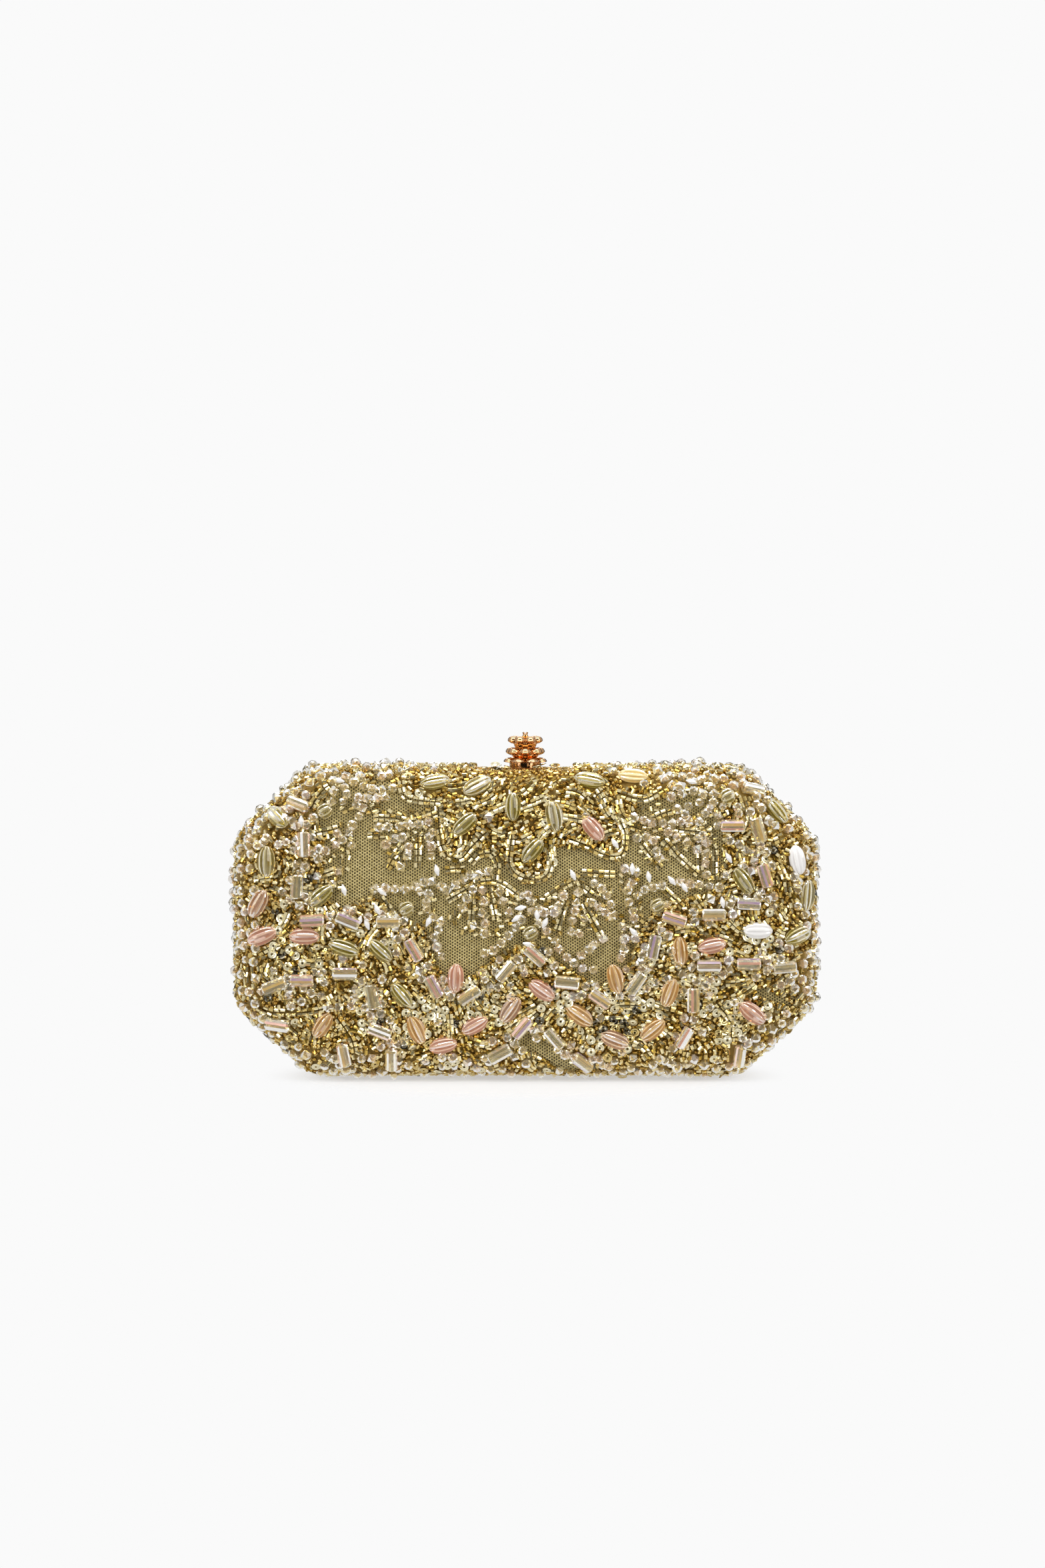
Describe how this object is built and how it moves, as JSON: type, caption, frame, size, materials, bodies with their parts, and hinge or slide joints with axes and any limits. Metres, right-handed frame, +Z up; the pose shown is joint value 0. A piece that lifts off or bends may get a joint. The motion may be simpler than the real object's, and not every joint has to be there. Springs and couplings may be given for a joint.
{
  "type": "evening bag",
  "caption": "Octagonal beaded box clutch in two dished halves, hinged along the base, with a tilting tower clasp of petal tiers on top and a satin lining.",
  "frame": {"origin": "centre of the base that the bag stands on, on the parting line between its halves", "axes": "+X across the bag's width, +Y towards its back, +Z up to the clasp"},
  "size_m": [0.19, 0.054, 0.112],
  "materials": {
    "frame_metal": "polished gold plate",
    "clasp_metal": "polished warm gold plate",
    "spring_steel": "drawn wire",
    "shell_board": "moulded",
    "padding": "soft",
    "net_cover": "net over satin",
    "beads": "cut glass beads",
    "lining": "satin"
  },
  "bodies": {
    "rear_half": {"rear_frame": "frame_metal", "rear_shell": "shell_board", "rear_padding": "padding", "rear_cover": "net_cover", "rear_beadwork": "beads", "rear_lining": "lining", "rear_hinge_leaves": "frame_metal", "hinge_pins": "frame_metal", "clasp_base": "clasp_metal", "clasp_base_rivets": "clasp_metal", "clasp_axle": "clasp_metal", "clasp_spring": "spring_steel", "gusset_left": "lining", "gusset_right": "lining"},
    "front_half": {"front_frame": "frame_metal", "front_shell": "shell_board", "front_padding": "padding", "front_cover": "net_cover", "front_beadwork": "beads", "front_lining": "lining", "front_hinge_leaves": "frame_metal", "strike_plate": "clasp_metal", "strike_rivets": "clasp_metal"},
    "clasp_lever": {"clasp_drum": "clasp_metal", "lower_petals": "clasp_metal", "middle_petals": "clasp_metal", "upper_petals": "clasp_metal", "clasp_stem": "clasp_metal", "clasp_finial": "clasp_metal"}
  },
  "joints": [
    {"name": "bag_hinge", "type": "hinge", "parent": "rear_half", "child": "front_half", "pos_m": [0, 0, 0.00155], "axis": [1, 0, 0], "range_deg": [0, 55], "deforming": ["gusset_left", "gusset_right"]},
    {"name": "clasp_tilt", "type": "hinge", "parent": "rear_half", "child": "clasp_lever", "pos_m": [0, 0.006, 0.1009], "axis": [-1, 0, 0], "range_deg": [0, 16], "stiffness_Nm_per_rad": 0.02, "springref_deg": -20.05, "deforming": ["clasp_spring"]}
  ]
}
